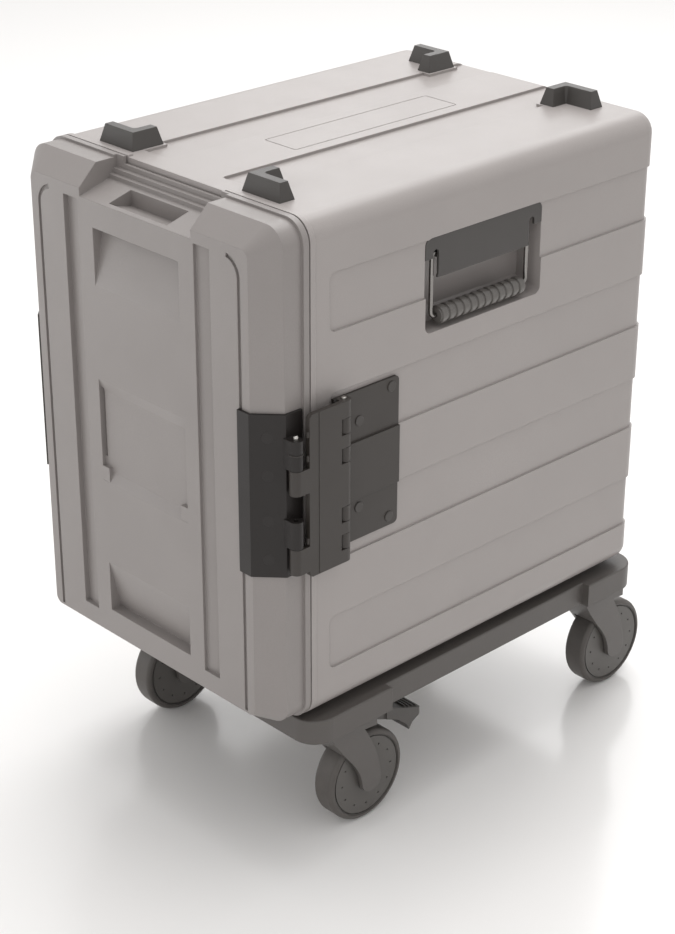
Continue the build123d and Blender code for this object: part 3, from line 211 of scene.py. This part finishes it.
def plastic(
    name, colour, roughness, grain, relief, mottle=0.05, edge_wear_and_highlight=0.15, soft_edge=0.0012, specular=0.5
):
    """Moulded plastic: fine grain, faint mottling, edges lightened as rubbed wear and painted
    highlight, and scattered glossier scuffs.

    grain is the scale of its noise, and relief its height. mottle is how far the colour varies,
    edge_wear_and_highlight how strongly the edges are lightened, as rubbed wear and painted
    highlight, and soft_edge the radius that edges seem to have.
    """
    g = Graph(name)
    cloud = g.spread(g.noise(6.0, 4.0, 0.6), 0.3, 0.7, 0.0, 1.0)
    body = g.blend(cloud, shade(colour, 1.0 - mottle), shade(colour, 1.0 + mottle))
    speck = g.spread(g.noise(900.0, 2.0, 0.7), 0.35, 0.65, 0.0, 1.0)
    body = g.blend(speck, body, shade(colour, 1.0 - mottle))
    # edges made lighter: partly rubbed wear, partly painted highlight
    edge = g.edges(soft_edge * EDGE_WEAR_AND_HIGHLIGHT_REACH)
    rubbed_and_highlit = g.maths("MULTIPLY", edge, g.spread(g.noise(45.0, 4.0, 0.65), 0.35, 0.7, 0.0, edge_wear_and_highlight))
    body = g.blend(rubbed_and_highlit, body, shade(colour, 1.45))
    scuff = g.spread(g.noise(14.0, 8.0, 0.75, stretch=(1.0, 1.0, 9.0)), 0.62, 0.74, 0.0, 1.0)
    gloss = g.spread(g.noise(11.0, 5.0, 0.6), 0.3, 0.7, roughness - 0.05, roughness + 0.05)
    gloss = g.maths("ADD", gloss, g.maths("MULTIPLY", scuff, 0.07))
    fine = g.bump(g.noise(grain, 3.0, 0.6), relief, 0.5, g.rounded(soft_edge))
    wave = g.bump(g.noise(9.0, 2.0, 0.4), 0.0009, 0.35, fine)
    return g.set(Base_Color=body, Roughness=gloss, Normal=wave, Specular_IOR_Level=specular)


def rubber(name, colour, roughness):
    """Matt rubber: dusty in patches, with a fine moulded grain."""
    g = Graph(name)
    dust = g.spread(g.noise(30.0, 6.0, 0.7), 0.45, 0.75, 0.0, 0.5)
    body = g.blend(dust, colour, shade(colour, 1.5))
    gloss = g.spread(g.noise(60.0, 4.0, 0.6), 0.3, 0.7, roughness - 0.07, roughness + 0.07)
    fine = g.bump(g.noise(700.0, 3.0, 0.6), 0.0003, 0.5, g.rounded(0.0012))
    return g.set(Base_Color=body, Roughness=gloss, Normal=fine, Specular_IOR_Level=0.4)


def steel(name, colour, roughness, streak):
    """Steel with drawn streaks that run one way and darker spots."""
    g = Graph(name)
    lines = g.spread(g.noise(260.0, 3.0, 0.6, stretch=streak), 0.3, 0.7, 0.0, 1.0)
    body = g.blend(lines, shade(colour, 0.86), colour)
    spots = g.spread(g.noise(70.0, 5.0, 0.7), 0.55, 0.75, 0.0, 0.6)
    body = g.blend(spots, body, shade(colour, 0.7))
    gloss = g.spread(lines, 0.0, 1.0, roughness + 0.06, roughness - 0.05)
    fine = g.bump(lines, 0.0001, 0.4, g.rounded(0.0006))
    return g.set(Base_Color=body, Roughness=gloss, Normal=fine, Metallic=1.0)


def foam(name, colour):
    """Rigid foam with small cells."""
    g = Graph(name)
    cells = g.node("ShaderNodeTexVoronoi")
    cells.inputs["Scale"].default_value = 900.0
    g.link(g.place, "Object", cells, "Vector")
    tone = g.spread((cells, "Distance"), 0.0, 0.6, 0.0, 1.0)
    body = g.blend(tone, shade(colour, 0.8), colour)
    return g.set(Base_Color=body, Roughness=0.85, Normal=g.bump((cells, "Distance"), 0.0006, 0.6))


SHELL_GREY = (0.338, 0.310, 0.299)
# the door's grey is the shell's plastic made darker, as painted shade on the door's front face
DOOR_GREY_WITH_PAINTED_SHADE = (0.258, 0.236, 0.227)
LINES_ALONG_Z = (1.0, 1.0, 0.04)
LINES_ALONG_Y = (1.0, 0.04, 1.0)

# grain scale and relief of the moulded surfaces
SHELL_GRAIN = (1100.0, 0.00025)
INNER_GRAIN = (1300.0, 0.0002)
TROLLEY_GRAIN = (1100.0, 0.0004)
CASTOR_GRAIN = (1300.0, 0.0003)
FITTING_GRAIN = (1500.0, 0.0003)
FASTENER_GRAIN = (1500.0, 0.0002)
GRIP_GRAIN = (1700.0, 0.0001)
HINGE_EDGE = 0.0009

MATERIALS = {
    # the shells' edges are lightened strongly: painted highlight as well as rubbed wear
    "body_shell": plastic("body_shell", SHELL_GREY, 0.36, *SHELL_GRAIN, edge_wear_and_highlight=0.5),
    "door_shell": plastic("door_shell", DOOR_GREY_WITH_PAINTED_SHADE, 0.38, *SHELL_GRAIN, edge_wear_and_highlight=0.5),
    "liner": plastic("liner", shade(SHELL_GREY, 0.95), 0.34, *INNER_GRAIN),
    "door_panel": plastic("door_panel", shade(DOOR_GREY_WITH_PAINTED_SHADE, 0.95), 0.36, *INNER_GRAIN),
    "foam": foam("foam", (0.72, 0.62, 0.42)),
    "gasket": rubber("gasket", (0.05, 0.048, 0.046), 0.55),
    "studs": plastic("studs", (0.062, 0.057, 0.053), 0.42, *FITTING_GRAIN),
    "pin_steel": steel("pin_steel", (0.62, 0.60, 0.57), 0.26, LINES_ALONG_Z),
    "rivets": plastic(
        "rivets", (0.043, 0.037, 0.033), 0.4, *FASTENER_GRAIN, soft_edge=0.0006
    ),
    "screws": plastic(
        "screws", (0.022, 0.019, 0.018), 0.4, *FASTENER_GRAIN, soft_edge=0.0005, specular=0.3
    ),
    "wire_steel": steel("wire_steel", (0.28, 0.268, 0.256), 0.22, LINES_ALONG_Z),
    "grip": plastic("grip", (0.122, 0.113, 0.105), 0.3, *GRIP_GRAIN, soft_edge=0.0007),
    "handle_plate": plastic("handle_plate", (0.053, 0.048, 0.045), 0.44, *FITTING_GRAIN),
    "hinge_plastic": plastic(
        "hinge_plastic",
        (0.040, 0.034, 0.030),
        0.4,
        *FITTING_GRAIN,
        soft_edge=HINGE_EDGE,
        specular=0.4,
    ),
    "trolley": plastic("trolley", (0.090, 0.081, 0.075), 0.42, *TROLLEY_GRAIN, mottle=0.08),
    "mount_steel": steel("mount_steel", (0.5, 0.48, 0.46), 0.34, LINES_ALONG_Y),
    "fork": plastic("fork", (0.104, 0.095, 0.089), 0.4, *CASTOR_GRAIN),
    "tyre": rubber("tyre", (0.082, 0.074, 0.068), 0.48),
    "wheel_centre": plastic("wheel_centre", (0.095, 0.088, 0.081), 0.38, *CASTOR_GRAIN),
    "pedal": plastic("pedal", (0.07, 0.064, 0.059), 0.4, *CASTOR_GRAIN),
}

# the hinge's plate on the door is darker than the rest of the hinge
DOOR_PLATE = plastic(
    "door_plate", (0.019, 0.016, 0.015), 0.42, *FITTING_GRAIN, soft_edge=HINGE_EDGE, specular=0.3
)

for name, node in NODES.items():
    finish = MATERIALS[node.data.materials[0].name.split(".")[0]]
    if name == "hinge_door_plate":
        finish = DOOR_PLATE
    node.data.materials.clear()
    node.data.materials.append(finish)

# ---------------------------------------------------------------- small pieces on the hinge

JOINTS = {joint["name"]: joint for joint in frame["record"]["behaviour"]["joints"]}
FRONT_PIVOT = Vector(JOINTS["door_swing"]["pos_m"])
FLAP_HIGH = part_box("hinge_link_flap")[1]

# the stops: each one's drop below the flap's top, and its place off the flap's side and the pivot
STOP_DROPS = (0.0232, 0.0523, 0.1545)
STOP_SIZE = (0.003, 0.004, 0.008)
STOP_INSET = 0.0022
STOP_BEHIND_PIVOT = 0.0122
STOP_ROUNDING = 0.0006

# the clip: its drop below the flap's top, and its turns about the pivot in degrees
CLIP_DROP = 0.0445
CLIP_RADIUS = 0.0084
CLIP_WIRE = 0.0007
CLIP_TURNS = range(-130, 81, 10)
CLIP_END = 0.004


def add_stops():
    """Three small stops on the front edge of the hinge's link flap."""
    shape = bmesh.new()
    for drop in STOP_DROPS:
        place = Vector(
            (FLAP_HIGH.x - STOP_INSET, FRONT_PIVOT.y + STOP_BEHIND_PIVOT, FLAP_HIGH.z - drop)
        )
        size = Matrix.Diagonal((*STOP_SIZE, 1.0))
        bmesh.ops.create_cube(shape, matrix=Matrix.Translation(place) @ size)
    bmesh.ops.bevel(
        shape, geom=shape.edges[:], offset=STOP_ROUNDING, segments=2, affect="EDGES"
    )
    mesh = bpy.data.meshes.new("hinge_link_stops")
    shape.to_mesh(mesh)
    shape.free()
    mesh.materials.append(MATERIALS["hinge_plastic"])
    stops = bpy.data.objects.new("hinge_link_stops", mesh)
    bpy.context.scene.collection.objects.link(stops)
    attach(stops, "hinge_link")


def add_clip():
    """Spring wire around the outside of the door's upper knuckle, with a short bent end."""
    curve = bpy.data.curves.new("hinge_clip", "CURVE")
    curve.dimensions = "3D"
    curve.bevel_depth = CLIP_WIRE
    curve.bevel_resolution = 3
    height = FLAP_HIGH.z - CLIP_DROP
    path = []
    for turn in map(math.radians, CLIP_TURNS):
        x = FRONT_PIVOT.x + CLIP_RADIUS * math.cos(turn)
        y = FRONT_PIVOT.y + CLIP_RADIUS * math.sin(turn)
        path.append((x, y, height))
    path.append((*path[-1][:2], height - CLIP_END))
    line = curve.splines.new("POLY")
    line.points.add(len(path) - 1)
    for point, place in zip(line.points, path):
        point.co = (*place, 1.0)
    curve.use_fill_caps = True
    curve.materials.append(MATERIALS["hinge_plastic"])
    clip = bpy.data.objects.new("hinge_clip", curve)
    bpy.context.scene.collection.objects.link(clip)
    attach(clip, "door")


add_stops()
add_clip()

# the castor forks have sharp edges in the CAD, and are rounded here
WELD_DISTANCE = 0.00001
FORK_ROUNDING = 0.003
FORK_ROUNDING_STEPS = 3
FORK_SHARP_ANGLE = math.radians(50)

for name, node in NODES.items():
    if name.startswith("castor_fork"):
        weld = node.modifiers.new("weld", "WELD")
        weld.merge_threshold = WELD_DISTANCE
        rounding = node.modifiers.new("rounding", "BEVEL")
        rounding.width = FORK_ROUNDING
        rounding.segments = FORK_ROUNDING_STEPS
        rounding.limit_method = "ANGLE"
        rounding.angle_limit = FORK_SHARP_ANGLE

# ---------------------------------------------------------------- studio

FLOOR_REACH = 30.0
FLOOR_GAP = 0.0005
FLOOR_COLOUR = (0.90, 0.89, 0.88, 1.0)
WORLD_COLOUR = (1.0, 0.992, 0.985, 1.0)
WORLD_STRENGTH = 0.84


def add_floor():
    """A pale, slightly glossy floor just under the wheels."""
    mesh = bpy.data.meshes.new("floor")
    signs = ((-1, -1), (1, -1), (1, 1), (-1, 1))
    corners = [(x * FLOOR_REACH, y * FLOOR_REACH, 0.0) for x, y in signs]
    mesh.from_pydata(corners, [], [(0, 1, 2, 3)])
    floor = bpy.data.objects.new("floor", mesh)
    bpy.context.scene.collection.objects.link(floor)
    floor.location = (0.0, 0.0, CAD_LOW.z - FLOOR_GAP)
    g = Graph("floor")
    gloss = g.spread(g.noise(1.5, 2.0, 0.5), 0.3, 0.7, 0.16, 0.22)
    finish = g.set(Base_Color=FLOOR_COLOUR, Roughness=gloss, Specular_IOR_Level=0.6)
    mesh.materials.append(finish)


def add_light(name, place, aim, size, power):
    """A white rectangular light that points from its place to its aim."""
    data = bpy.data.lights.new(name, "AREA")
    data.shape = "RECTANGLE"
    data.size, data.size_y = size
    data.energy = power
    light = bpy.data.objects.new(name, data)
    bpy.context.scene.collection.objects.link(light)
    light.location = place
    direction = Vector(aim) - Vector(place)
    light.rotation_euler = direction.to_track_quat("-Z", "Y").to_euler()


def add_world():
    """Even light from all around."""
    world = bpy.data.worlds.new("studio")
    world.use_nodes = True
    background = world.node_tree.nodes["Background"]
    background.inputs["Color"].default_value = WORLD_COLOUR
    background.inputs["Strength"].default_value = WORLD_STRENGTH
    bpy.context.scene.world = world


add_floor()
add_world()
add_light("key", (-1.6, 2.6, 3.2), CENTRE, (3.2, 3.2), 56.0)
add_light("top", (-0.2, 0.3, 3.4), CENTRE, (2.2, 2.2), 46.0)
add_light("fill", (1.4, -2.1, 0.5), (0.0, 0.0, 0.05), (2.6, 0.8), 5.0)
add_light("low", (-2.3, -1.5, 0.4), (-0.1, -0.3, 0.0), (2.4, 0.7), 9.0)
bpy.context.scene.view_settings.view_transform = "Standard"
